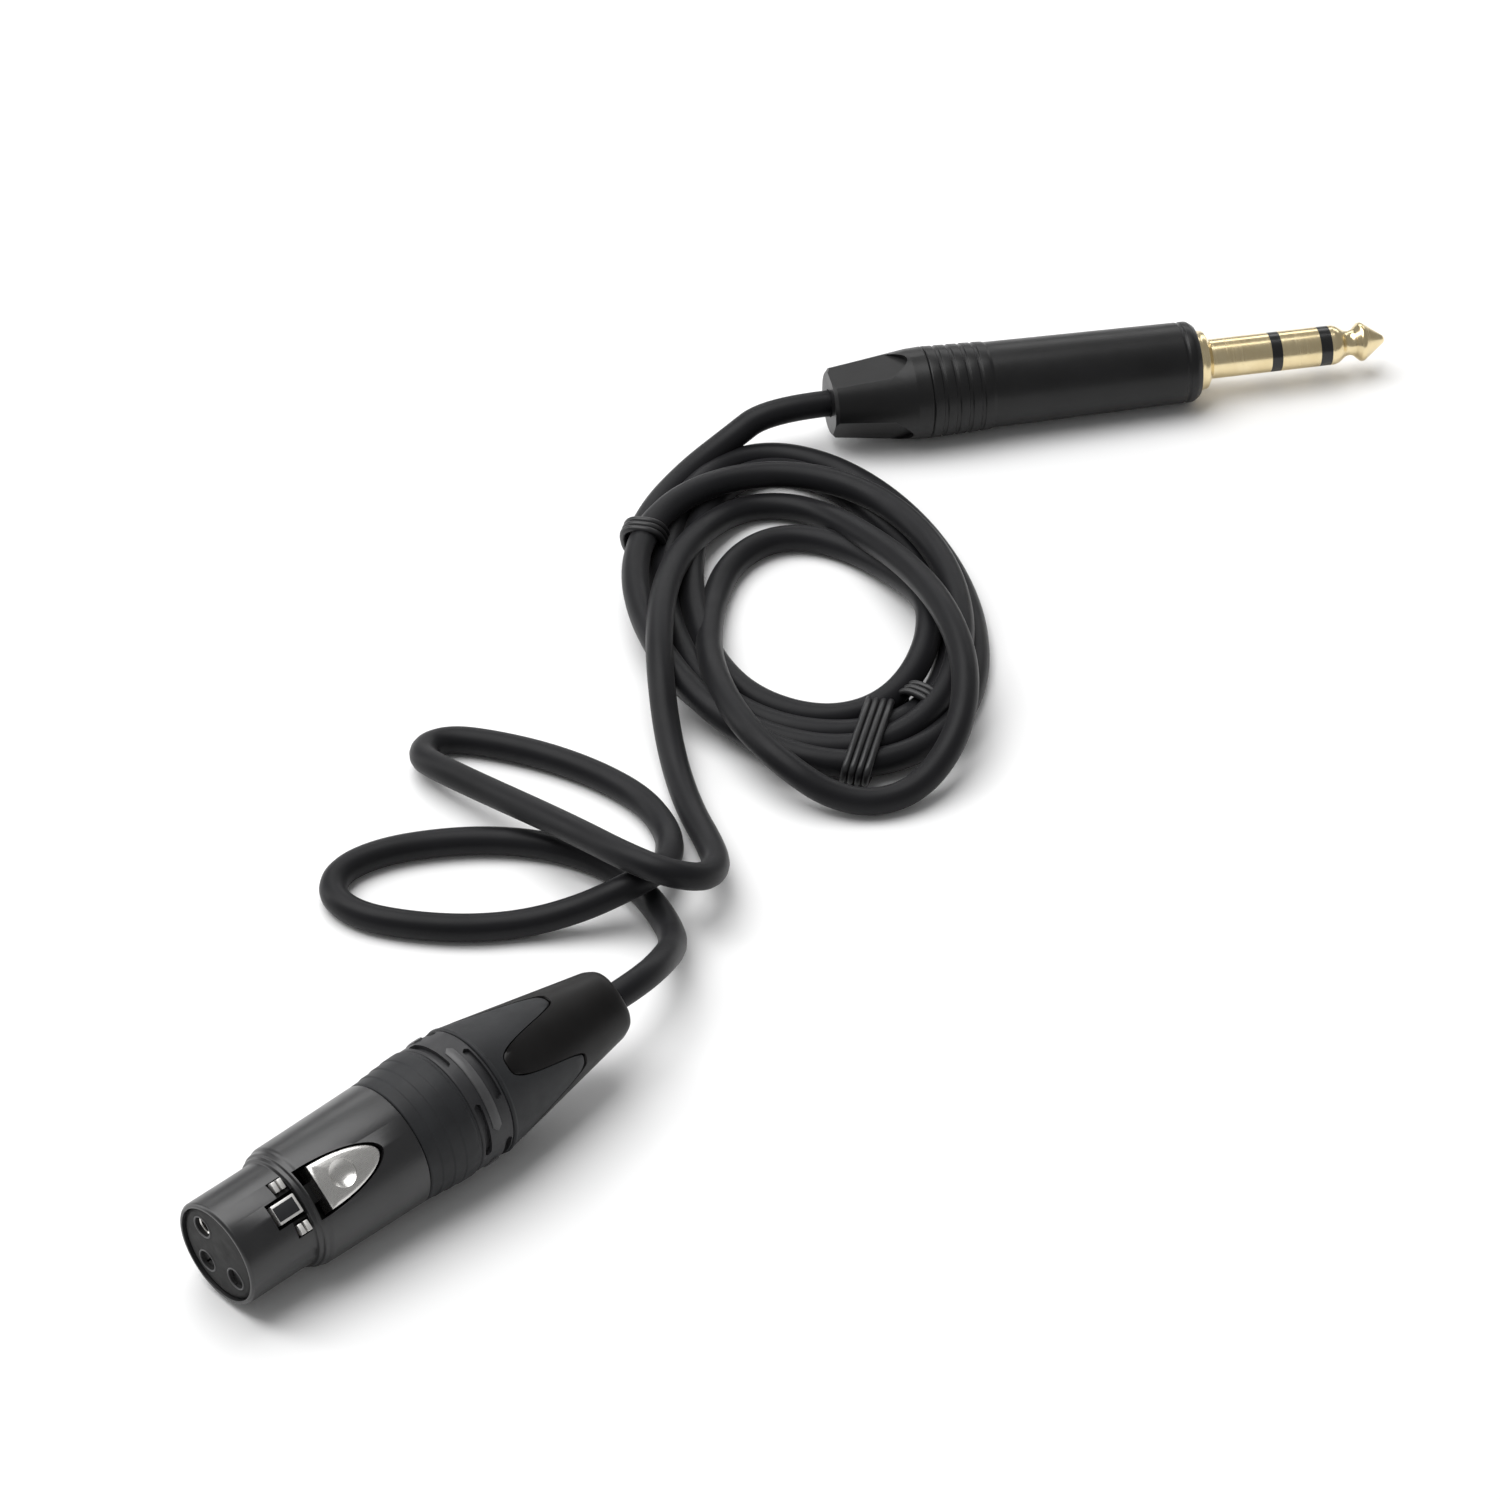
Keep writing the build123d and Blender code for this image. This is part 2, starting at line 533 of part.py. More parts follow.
with BuildPart() as jack_cable_end:
    ring_of(JACK, 0, JACK_JACKET_END, CABLE_R, 0)
save(jack_cable_end, "jack_cable_end")

with BuildPart() as jack_cores:
    for lug_start, lug_y, jacket_y in ((34.0, 0.0, 0.0), (36.5, 2.3, 1.3), (38.0, -3.9, -1.3)):
        with BuildLine() as core_path:
            Line(
                JACK.from_local_coords(Vector(0, jacket_y, JACK_JACKET_END - JOINT_LAP)),
                JACK.from_local_coords(Vector(0, lug_y, lug_start + JOINT_LAP)),
            )
        with BuildSketch(Plane(core_path.line @ 0, z_dir=core_path.line % 0)):
            Circle(CORE_R)
        sweep(path=core_path.line)
save(jack_cores, "jack_cores")

# =====================================================================================
# Cable
# =====================================================================================


def corner_radii(points):
    """Arc at each corner: as large as its two runs allow."""
    radii = []
    for before, corner, after in zip(points, points[1:], points[2:]):
        run_in = Vector(*corner) - Vector(*before)
        run_out = Vector(*after) - Vector(*corner)
        turn = radians(run_in.get_angle(run_out))
        radii.append(0.45 * min(run_in.length, run_out.length) / tan(turn / 2))
    return radii


def cable_tube(name, points):
    """Plain tube of straight runs joined by tangent arcs, through hand-chosen points."""
    radii = corner_radii(points)
    with BuildPart() as tube:
        with BuildLine() as path:
            FilletPolyline(*points, radius=radii)
        with BuildSketch(Plane(path.line @ 0, z_dir=path.line % 0)) as section:
            Circle(CABLE_R)
        sweep(section.sketch, path=path.line)
    save(tube, name)
    length = path.wire().length
    filled = tube.part.volume / (section.sketch.area * length)
    print(f"  length {length:.1f} mm, volume / (section x length) {filled:.4f}")
    print("  radii:", " ".join(f"{radius:.1f}" for radius in radii))


xlr_exit = tuple(XLR.from_local_coords(Vector(0, 0, XLR_LENGTH)))
jack_exit = tuple(JACK.origin)
coil_in = (-25.7, 27.0, 8.4)
coil_out = (-27.8, 68.0, 2.1)
cable_tube("cable_lead", [xlr_exit, *LEAD, coil_in])
cable_tube("cable_tail", [coil_out, *TAIL, jack_exit])

# The coil's outer shape: an oval ring, with room left for the plug's boot at its far side.
with BuildPart() as cable_coil:
    with BuildSketch(Plane.XY):
        with Locations(Location((*COIL_CENTRE, 0), (0, 0, COIL_LEAN))):
            Ellipse(*COIL_HALF)
        with Locations(Location((*COIL_HOLE_CENTRE, 0), (0, 0, COIL_LEAN))):
            Ellipse(*COIL_HOLE_HALF, mode=Mode.SUBTRACT)
    extrude(amount=COIL_HEIGHT)
    fillet(cable_coil.edges().group_by(Axis.Z)[-1], radius=4.5)
    with BuildSketch(JACK.offset(-12)):
        Circle(JACK_SHOULDER_R + 0.6)
    extrude(amount=60, mode=Mode.SUBTRACT)
save(cable_coil, "cable_coil")


def tie(name, centre, crossing, reach, height):
    """Band of thin cord tied round some of the coil's turns, standing across them."""
    upright = Plane(origin=(*centre, 0), x_dir=crossing, z_dir=(crossing[1], -crossing[0], 0))
    corner = 0.49 * min(height, 2 * reach)
    with BuildPart() as band:
        with BuildSketch(upright):
            with Locations((0, height / 2)):
                RectangleRounded(2 * reach, height, corner)
                RectangleRounded(2 * reach - 4 * TIE_R, height - 4 * TIE_R, corner - 2 * TIE_R,
                                 mode=Mode.SUBTRACT)
        extrude(amount=TIE_ROUNDS * TIE_R, both=True)
    save(band, name)


tie("tie_main", (5.4, 11.2), (0.25, 0.97, 0), 8.9, 6.4)
tie("tie_small", (13.4, 19.6), (-0.8, 0.6, 0), 3.2, 6.4)
tie("tie_left", (-28.2, 58.6), (0.97, -0.24, 0), 3.7, 9.2)
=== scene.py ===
"""XLR-to-jack audio cable on a pale floor: camera, cable, ties, connector details, light.

Metres, in the CAD's frame: the floor is z = 0 and +Z is up. Each connector also has a frame of its
own in millimetres, whose Z runs along the connector, as in the CAD.
"""
import bmesh
import bpy
import json
from math import cos, pi, radians, sin, sqrt
from mathutils import Matrix, Vector


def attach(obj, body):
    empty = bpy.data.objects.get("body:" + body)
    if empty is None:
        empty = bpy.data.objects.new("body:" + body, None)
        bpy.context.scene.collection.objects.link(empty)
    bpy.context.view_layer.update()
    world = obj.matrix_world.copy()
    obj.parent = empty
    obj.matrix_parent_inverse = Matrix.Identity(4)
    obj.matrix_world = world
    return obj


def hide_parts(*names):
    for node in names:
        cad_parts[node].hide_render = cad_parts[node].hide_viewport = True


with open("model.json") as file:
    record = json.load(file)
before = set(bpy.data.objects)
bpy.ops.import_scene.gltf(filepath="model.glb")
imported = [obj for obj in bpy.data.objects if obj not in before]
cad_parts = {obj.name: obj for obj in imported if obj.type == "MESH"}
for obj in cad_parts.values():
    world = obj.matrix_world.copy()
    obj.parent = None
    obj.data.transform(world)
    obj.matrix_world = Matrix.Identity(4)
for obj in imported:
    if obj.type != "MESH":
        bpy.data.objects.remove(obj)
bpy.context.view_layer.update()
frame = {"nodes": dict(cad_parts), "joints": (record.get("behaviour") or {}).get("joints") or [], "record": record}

MM = 0.001
RECORD = frame["record"]
MOUNTS = {mount["name"]: mount for mount in RECORD["mounts"]}
JOINTS = {joint["name"]: joint for joint in frame["joints"]}

# =====================================================================================
# Camera
# =====================================================================================
CAMERA_RISE = 40.0                 # degrees above the floor
CAMERA_RANGE = 1.0
CAMERA_AIM = Vector((-0.012, 0.013, 0.0))
CAMERA_LENS = 160.0
SENSOR = 36.0

camera_data = bpy.data.cameras.new("camera")
camera_data.lens = CAMERA_LENS
camera_data.sensor_width = SENSOR
camera = bpy.data.objects.new("camera", camera_data)
bpy.context.scene.collection.objects.link(camera)
sight = Vector((0, cos(radians(CAMERA_RISE)), -sin(radians(CAMERA_RISE))))
camera.location = CAMERA_AIM - sight * CAMERA_RANGE
camera.rotation_euler = (radians(90 - CAMERA_RISE), 0, 0)
bpy.context.scene.camera = camera

# =====================================================================================
# Connector frames, read from the record's mounts and the latch's hinge
# =====================================================================================
CONTACT_STATION = 5.0              # where a contact mount's point lies, from the front face
CONTACT_CIRCLE_R = 4.2             # the third contact lies this far below the axis
JACK_MOUNT_STATION = 67.0          # where the finger mount's point lies, from the cable end
XLR_LENGTH = 71.5
JACK_FRONT = 59.8


def connector_frame(point, along, across):
    """Matrix from a connector's millimetres to the scene's metres."""
    up = along.cross(across)
    columns = Matrix((across * MM, up * MM, along * MM)).transposed().to_4x4()
    return Matrix.Translation(point) @ columns


xlr_back = -Vector(MOUNTS["xlr_contact_3"]["axis"])
xlr_across = -Vector(JOINTS["xlr_latch_press"]["axis"])
xlr_up = xlr_back.cross(xlr_across)
xlr_front = (Vector(MOUNTS["xlr_contact_3"]["pos_m"]) + xlr_up * CONTACT_CIRCLE_R * MM
             - xlr_back * CONTACT_STATION * MM)
XLR = connector_frame(xlr_front, xlr_back, xlr_across)
jack_forward = Vector(MOUNTS["jack_finger"]["axis"])
jack_rear = Vector(MOUNTS["jack_finger"]["pos_m"]) - jack_forward * JACK_MOUNT_STATION * MM
JACK = connector_frame(jack_rear, jack_forward,
                       Vector((-jack_forward.y, jack_forward.x, 0)).normalized())
XLR_EXIT = XLR @ Vector((0, 0, XLR_LENGTH))
JACK_EXIT = JACK @ Vector((0, 0, 0))

# =====================================================================================
# Materials
# =====================================================================================


NOISE_RANGE = (0.3, 0.7)           # where a noise's values mostly lie


class Surface:
    """Builder for one procedural material on a Principled shader."""

    def __init__(self, name, **sockets):
        self.material = bpy.data.materials.new(name)
        self.material.use_nodes = True
        self.tree = self.material.node_tree
        self.shader = self.tree.nodes["Principled BSDF"]
        for socket, value in sockets.items():
            self.shader.inputs[socket.replace("_", " ")].default_value = value
        self.place = self.node("ShaderNodeTexCoord").outputs["Object"]

    def node(self, kind, **settings):
        made = self.tree.nodes.new(kind)
        for setting, value in settings.items():
            setattr(made, setting, value)
        return made

    def link(self, output, target):
        self.tree.links.new(output, target)

    def mapped(self, where):
        """Coordinates in a connector's own millimetres."""
        turn = where.to_3x3().normalized().inverted().to_4x4()
        moved = turn @ Matrix.Translation(-where.translation)
        mapping = self.node("ShaderNodeMapping")
        mapping.inputs["Location"].default_value = moved.translation / MM
        mapping.inputs["Rotation"].default_value = moved.to_euler()
        mapping.inputs["Scale"].default_value = (1 / MM,) * 3
        self.link(self.place, mapping.inputs["Vector"])
        return mapping.outputs["Vector"]

    def noise(self, size, detail=3.0, vector=None):
        """Noise whose blobs are about this many metres across."""
        noise = self.node("ShaderNodeTexNoise")
        noise.inputs["Scale"].default_value = 1 / size
        noise.inputs["Detail"].default_value = detail
        noise.inputs["Roughness"].default_value = 0.55
        self.link(vector or self.place, noise.inputs["Vector"])
        return noise.outputs["Fac"]

    def paint(self, value, dark, light):
        """Base colour between two tones."""
        ramp = self.node("ShaderNodeValToRGB")
        for element, position, tone in zip(ramp.color_ramp.elements, NOISE_RANGE, (dark, light)):
            element.position = position
            element.color = (*tone, 1)
        self.link(value, ramp.inputs["Fac"])
        self.link(ramp.outputs["Color"], self.shader.inputs["Base Color"])

    def polish(self, value, low, high):
        """Roughness between two limits."""
        spread = self.node("ShaderNodeMapRange")
        for socket, limit in zip(("From Min", "From Max", "To Min", "To Max"),
                                 (*NOISE_RANGE, low, high)):
            spread.inputs[socket].default_value = limit
        self.link(value, spread.inputs["Value"])
        self.link(spread.outputs["Result"], self.shader.inputs["Roughness"])

    def bump(self, *layers):
        """Bumps one on another: each layer is a height and its depth in metres."""
        normal = None
        for height, depth in layers:
            bump = self.node("ShaderNodeBump")
            bump.inputs["Distance"].default_value = depth
            bump.inputs["Strength"].default_value = 1.0
            self.link(height, bump.inputs["Height"])
            if normal:
                self.link(normal, bump.inputs["Normal"])
            normal = bump.outputs["Normal"]
        self.link(normal, self.shader.inputs["Normal"])


MATERIALS = {}


def mottled(name, size, dark, light, rough, grain, **sockets):
    """Slow change of colour and gloss, and a fine grain.

    size is the width of the patches, rough the lowest and highest roughness, and grain the grain's
    size and depth. Lengths are in metres.
    """
    surface = Surface(name, **sockets)
    surface.paint(surface.noise(size), dark, light)
    surface.polish(surface.noise(size * 0.6, detail=4.0), *rough)
    grain_size, grain_depth = grain
    surface.bump((surface.noise(grain_size, detail=2.0), grain_depth),
                 (surface.noise(size * 0.25), grain_depth * 2))
    MATERIALS[name] = surface.material


def grained_metal(name, where, dark, light, rough, stretch, pitch, detail, patch, depth):
    """Plated metal with fine lines in a connector's frame, and a slow change of tone.

    stretch scales the grain's three axes and pitch is the lines' spacing in millimetres. patch, the
    width of the tone's patches, and depth, the depth of the lines, are in metres.
    """
    surface = Surface(name, Metallic=1.0)
    stretched = surface.node("ShaderNodeMapping")
    stretched.inputs["Scale"].default_value = stretch
    surface.link(surface.mapped(where), stretched.inputs["Vector"])
    lines = surface.noise(pitch, detail=detail, vector=stretched.outputs["Vector"])
    surface.paint(surface.noise(patch), dark, light)
    surface.polish(lines, *rough)
    surface.bump((lines, depth))
    MATERIALS[name] = surface.material


def turned_metal(name, where, dark, light, rough, pitch, depth):
    """Metal with fine rings left by turning."""
    grained_metal(name, where, dark, light, rough, stretch=(0.03, 0.03, 1.0), pitch=pitch,
                  detail=3.0, patch=0.004, depth=depth)


def brushed_metal(name, dark, light, rough):
    """Satin plate on the XLR, with fine streaks along it."""
    grained_metal(name, XLR, dark, light, rough, stretch=(1.0, 1.0, 0.06), pitch=0.12,
                  detail=4.0, patch=0.003, depth=0.000002)


mottled("cable_jacket", 0.012, (0.006, 0.006, 0.007), (0.0095, 0.0095, 0.011),
        rough=(0.40, 0.50), grain=(0.00035, 0.000006),
        Specular_IOR_Level=0.16, Sheen_Weight=0.05, Sheen_Roughness=0.5)
mottled("black_shell", 0.006, (0.011, 0.011, 0.012), (0.016, 0.016, 0.017),
        rough=(0.30, 0.38), grain=(0.00025, 0.000003),
        Specular_IOR_Level=0.5, Coat_Weight=0.15, Coat_Roughness=0.3)
mottled("jack_black", 0.006, (0.006, 0.006, 0.0062), (0.009, 0.009, 0.0095),
        rough=(0.34, 0.42), grain=(0.00025, 0.000003),
        Specular_IOR_Level=0.26, Coat_Weight=0.08, Coat_Roughness=0.3)
mottled("black_nut", 0.005, (0.016, 0.0165, 0.018), (0.023, 0.024, 0.026),
        rough=(0.46, 0.56), grain=(0.00018, 0.000007), Specular_IOR_Level=0.24)
mottled("soft_sleeve", 0.008, (0.004, 0.0035, 0.0035), (0.007, 0.0065, 0.0065),
        rough=(0.36, 0.44), grain=(0.0003, 0.000003), Specular_IOR_Level=0.2)
mottled("coding_ring", 0.004, (0.022, 0.022, 0.024), (0.032, 0.032, 0.034),
        rough=(0.38, 0.46), grain=(0.0002, 0.000005), Specular_IOR_Level=0.3)
mottled("black_insert", 0.003, (0.009, 0.009, 0.009), (0.014, 0.014, 0.014),
        rough=(0.5, 0.62), grain=(0.00015, 0.000006), Specular_IOR_Level=0.2)
mottled("insulator", 0.003, (0.006, 0.006, 0.006), (0.009, 0.009, 0.009),
        rough=(0.2, 0.28), grain=(0.0003, 0.000002), Specular_IOR_Level=0.5)
mottled("tie_cord", 0.003, (0.012, 0.012, 0.013), (0.02, 0.02, 0.021),
        rough=(0.32, 0.42), grain=(0.0002, 0.000004), Specular_IOR_Level=0.4)
mottled("raised_bar", 0.004, (0.05, 0.05, 0.052), (0.068, 0.068, 0.07),
        rough=(0.4, 0.48), grain=(0.0002, 0.000004), Specular_IOR_Level=0.5)
mottled("white_nylon", 0.004, (0.66, 0.65, 0.6), (0.76, 0.75, 0.7),
        rough=(0.4, 0.5), grain=(0.0002, 0.000004),
        Specular_IOR_Level=0.45, Subsurface_Weight=0.08, Subsurface_Scale=0.001)
mottled("core_insulation", 0.002, (0.42, 0.03, 0.02), (0.5, 0.05, 0.03),
        rough=(0.35, 0.45), grain=(0.0002, 0.000003), Specular_IOR_Level=0.5)
turned_metal("gold", JACK, (0.76, 0.62, 0.36), (0.86, 0.73, 0.46), rough=(0.18, 0.28),
             pitch=0.25, depth=0.0000012)
turned_metal("contact_silver", XLR, (0.6, 0.58, 0.55), (0.72, 0.7, 0.67), rough=(0.2, 0.32),
             pitch=0.2, depth=0.000001)
brushed_metal("nickel", (0.66, 0.65, 0.63), (0.72, 0.71, 0.69), rough=(0.24, 0.34))
brushed_metal("bright_nickel", (0.84, 0.83, 0.81), (0.9, 0.89, 0.87), rough=(0.45, 0.55))
brushed_metal("spring_steel", (0.45, 0.45, 0.46), (0.55, 0.55, 0.56), rough=(0.25, 0.4))

for subpart in RECORD["subparts"]:
    node = frame["nodes"][subpart["node"]]
    node.data.materials.clear()
    node.data.materials.append(MATERIALS[subpart["material_slot"]])
frame["nodes"]["jack_boot"].data.materials[0] = MATERIALS["jack_black"]

# =====================================================================================
# Cable
# =====================================================================================
CABLE_R = 0.0021

# From the XLR boot, through two loose loops, to the coil.
LEAD = [
    (-0.0275, -0.0515, 0.0114), (-0.0242, -0.0446, 0.0094), (-0.0228, -0.0368, 0.0054),
    (-0.0240, -0.0292, 0.0026), (-0.0274, -0.0218, 0.0021), (-0.0328, -0.0156, 0.0021),
    (-0.0404, -0.0116, 0.0021), (-0.0490, -0.0100, 0.0021), (-0.0580, -0.0106, 0.0021),
    (-0.0664, -0.0128, 0.0021), (-0.0722, -0.0170, 0.0021), (-0.0732, -0.0224, 0.0021),
    (-0.0692, -0.0268, 0.0021), (-0.0616, -0.0290, 0.0021), (-0.0528, -0.0298, 0.0021),
    (-0.0444, -0.0287, 0.0021), (-0.0366, -0.0276, 0.0040), (-0.0298, -0.0262, 0.0069),
    (-0.0256, -0.0226, 0.0069), (-0.0238, -0.0160, 0.0034), (-0.0238, -0.0088, 0.0021),
    (-0.0274, -0.0014, 0.0021), (-0.0342, 0.0046, 0.0021), (-0.0424, 0.0092, 0.0021),
    (-0.0504, 0.0120, 0.0021), (-0.0566, 0.0132, 0.0021), (-0.0604, 0.0112, 0.0024),
    (-0.0610, 0.0072, 0.0034), (-0.0582, 0.0034, 0.0046), (-0.0516, -0.0022, 0.0054),
    (-0.0440, -0.0094, 0.0072), (-0.0368, -0.0170, 0.0094), (-0.0304, -0.0240, 0.0112),
    (-0.0244, -0.0278, 0.0112), (-0.0188, -0.0262, 0.0086), (-0.0166, -0.0204, 0.0058),
    (-0.0180, -0.0124, 0.0036), (-0.0206, -0.0040, 0.0021), (-0.0228, 0.0046, 0.0021),
    (-0.0244, 0.0126, 0.0040), (-0.0254, 0.0204, 0.0074),
]
# Two loose turns that the coil starts with, over and inside the tied ones.
LOOSE_TURNS = [
    (-0.0258, 0.0290, 0.0088), (-0.0254, 0.0393, 0.0084), (-0.0236, 0.0506, 0.0064),
    (-0.0194, 0.0620, 0.0036), (-0.0136, 0.0692, 0.0021), (-0.0066, 0.0702, 0.0021),
    (0.0002, 0.0662, 0.0030), (0.0064, 0.0574, 0.0056), (0.0120, 0.0470, 0.0086),
    (0.0168, 0.0363, 0.0102), (0.0199, 0.0260, 0.0098), (0.0205, 0.0165, 0.0082),
    (0.0184, 0.0075, 0.0060), (0.0134, 0.0009, 0.0030), (0.0068, -0.0020, 0.0021),
    (0.0000, -0.0014, 0.0032), (-0.0060, 0.0016, 0.0058), (-0.0114, 0.0080, 0.0068),
    (-0.0152, 0.0156, 0.0068), (-0.0176, 0.0246, 0.0060), (-0.0184, 0.0344, 0.0038),
    (-0.0178, 0.0450, 0.0022), (-0.0154, 0.0548, 0.0021), (-0.0100, 0.0610, 0.0021),
    (-0.0032, 0.0622, 0.0021), (0.0038, 0.0590, 0.0021), (0.0100, 0.0520, 0.0034),
]
# From the coil to the jack.
TAIL = [
    (-0.0302, 0.0560, 0.0032), (-0.0278, 0.0680, 0.0021), (-0.0220, 0.0776, 0.0026),
    (-0.0152, 0.0840, 0.0044), (-0.0093, 0.0871, 0.0078),
]

# Tied turns: the ends of each oval's axes in the order that the cable passes them, as the side
# (right, bottom, left or top), the place along X or Y, and the height.
COIL_CENTRE = (-0.003, 0.042)
COIL_LEAN = radians(8)
FLAT = CABLE_R                     # lies on the floor
TIED = 0.0032                      # lies on a tie
FIRST_TOP = 0.0615
STATIONS = [
    ("right", 0.0154, 0.0058), ("bottom", 0.0164, TIED), ("left", -0.0208, TIED),
    ("top", 0.0796, FLAT), ("right", 0.0180, FLAT), ("bottom", 0.0126, TIED),
    ("left", -0.0250, TIED), ("top", 0.0836, FLAT), ("right", 0.0223, FLAT),
    ("bottom", 0.0053, TIED), ("left", -0.0298, 0.0068), ("top", 0.0736, 0.0058),
    ("right", 0.0200, 0.0060), ("bottom", 0.0090, TIED), ("left", -0.0290, TIED),
]
POINTS_PER_QUARTER = 4


def eased(start, end, share):
    return start + (end - start) * share * share * (3 - 2 * share)


def half_axis(index):
    """Distance of a station from the coil's centre along its own axis."""
    side, place, _ = STATIONS[index]
    return abs(place - COIL_CENTRE[side in ("bottom", "top")])


def tied_turns():
    """Points of the tied turns, each quarter easing from one station's oval to the next's."""
    points = []
    for quarter in range(len(STATIONS) - 1):
        side, _, height = STATIONS[quarter]
        before = half_axis(quarter - 1) if quarter else FIRST_TOP - COIL_CENTRE[1]
        here = half_axis(quarter)
        ahead = half_axis(quarter + 1)
        beyond = half_axis(quarter + 2) if quarter + 2 < len(STATIONS) else here
        for step in range(POINTS_PER_QUARTER):
            share = step / POINTS_PER_QUARTER
            angle = -pi / 2 * (quarter + share)
            own = eased(here, beyond, share / 2)
            other = eased(before, ahead, (1 + share) / 2)
            x_half, y_half = (own, other) if side in ("left", "right") else (other, own)
            y_part = y_half * sin(angle)
            points.append((
                COIL_CENTRE[0] + x_half * cos(angle) - y_part * sin(COIL_LEAN),
                COIL_CENTRE[1] + y_part,
                eased(height, STATIONS[quarter + 1][2], share),
            ))
    return points


def spline_curve(name, points, radius, material, steps=10):
    """Round cord along one NURBS spline whose control points are these points."""
    curve = bpy.data.curves.new(name, "CURVE")
    curve.dimensions = "3D"
    curve.resolution_u = steps
    curve.bevel_depth = radius
    curve.bevel_resolution = 6
    curve.use_fill_caps = True
    spline = curve.splines.new("NURBS")
    spline.points.add(len(points) - 1)
    for control, point in zip(spline.points, points):
        control.co = (*point, 1)
    spline.order_u = 3
    spline.use_endpoint_u = True
    curve.materials.append(material)
    made = bpy.data.objects.new(name, curve)
    bpy.context.scene.collection.objects.link(made)
    return made


ROUTE = [tuple(XLR_EXIT), *LEAD, *LOOSE_TURNS, *tied_turns(), *TAIL, tuple(JACK_EXIT)]
cable = spline_curve("cable", ROUTE, CABLE_R, MATERIALS["cable_jacket"])

# =====================================================================================
# Ties: thin cord wound round the turns
# =====================================================================================
TIE_R = 0.55                       # millimetres
TIE_PITCH = 1.12
POINTS_PER_ROUND = 20


def wrap(name, centre, across, reach, high, rounds, slant):
    """Thin cord wound some rounds about the turns: an upright oval coil that creeps along them.

    Millimetres: reach is half the width, high is the height of the topmost cord's centre, and slant
    is how far the top leans along the turns.
    """
    across = Vector((*across, 0)).normalized()
    along = Vector((across.y, -across.x, 0))
    middle = Vector((*centre, (TIE_R + high) / 2))
    half = (high - TIE_R) / 2
    points = []
    for step in range(rounds * POINTS_PER_ROUND + 1):
        angle = 2 * pi * step / POINTS_PER_ROUND - pi / 2
        sideways = cos(angle)
        upward = sin(angle)
        corner = (abs(sideways) ** 3 + abs(upward) ** 3) ** (1 / 3)
        creep = TIE_PITCH * (step / POINTS_PER_ROUND - rounds / 2) + slant * upward / corner
        point = (middle + across * reach * sideways / corner + along * creep
                 + Vector((0, 0, half * upward / corner)))
        points.append(tuple(point * MM))
    return spline_curve(name, points, TIE_R * MM, MATERIALS["tie_cord"], steps=6)


tie_main = wrap("tie_main_cord", (5.4, 11.2), (0.25, 0.97), reach=8.7, high=6.0, rounds=4,
                slant=0.6)
tie_small = wrap("tie_small_cord", (13.4, 19.6), (-0.8, 0.6), reach=3.0, high=6.0, rounds=3,
                 slant=0.3)
tie_left = wrap("tie_left_cord", (-28.2, 58.6), (0.97, -0.24), reach=3.1, high=8.6, rounds=3,
                slant=1.8)

for piece, node in ((tie_main, "tie_main"), (tie_small, "tie_small"), (tie_left, "tie_left")):
    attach(piece, "root")
    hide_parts(node)

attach(cable, "root")
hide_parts("cable_lead", "cable_coil", "cable_tail")

# =====================================================================================
# Connector bodies: turned shapes with rounded edges, and cut-outs
# =====================================================================================
ROUNDING = 0.12                    # millimetres, where an outline gives no other
SHARP = 40.0                       # degrees: steeper edges stay sharp in the shading


def rounded(outline):
    """Closed outline of (station, radius[, rounding]) with a small arc at each corner."""
    count = len(outline)
    points = []
    for index, corner in enumerate(outline):
        here = Vector(corner[:2])
        before = Vector(outline[index - 1][:2])
        after = Vector(outline[(index + 1) % count][:2])
        size = corner[2] if len(corner) > 2 else ROUNDING
        size = min(size, 0.4 * (before - here).length, 0.4 * (after - here).length)
        if size < 0.01 or here.y < 0.01:
            points.append(here)
            continue
        start = here + (before - here).normalized() * size
        end = here + (after - here).normalized() * size
        for share in (0, 0.33, 0.67, 1):
            points.append(start.lerp(here, share).lerp(here.lerp(end, share), share))
    return points


def finish_mesh(name, build, where, material, sharp=SHARP):
    """Mesh built in a connector's millimetres, turned into a smooth-shaded object in the scene."""
    bmesh.ops.remove_doubles(build, verts=build.verts, dist=0.0005)
    bmesh.ops.recalc_face_normals(build, faces=build.faces)
    mesh = bpy.data.meshes.new(name)
    build.to_mesh(mesh)
    build.free()
    mesh.transform(where)
    for polygon in mesh.polygons:
        polygon.use_smooth = True
    mesh.set_sharp_from_angle(angle=radians(sharp))
    mesh.materials.append(material)
    made = bpy.data.objects.new(name, mesh)
    bpy.context.scene.collection.objects.link(made)
    return made


def turned(name, where, outline, material, segments=144, warp=None):
    """Outline of (station, radius) turned about the connector's axis.

    warp, where given, takes station, radius and angle and returns the station and radius there.
    """
    profile = rounded(outline)
    build = bmesh.new()
    rows = []
    for segment in range(segments):
        angle = 2 * pi * segment / segments
        row = []
        for station, radius in profile:
            if warp:
                station, radius = warp(station, radius, angle)
            row.append(build.verts.new((radius * cos(angle), radius * sin(angle), station)))
        rows.append(row)
    for row, beside in zip(rows, rows[1:] + rows[:1]):
        for index in range(len(profile)):
            following = (index + 1) % len(profile)
            corners = [row[index], row[following], beside[following], beside[index]]
            build.faces.new(corners)
    return finish_mesh(name, build, where, material)


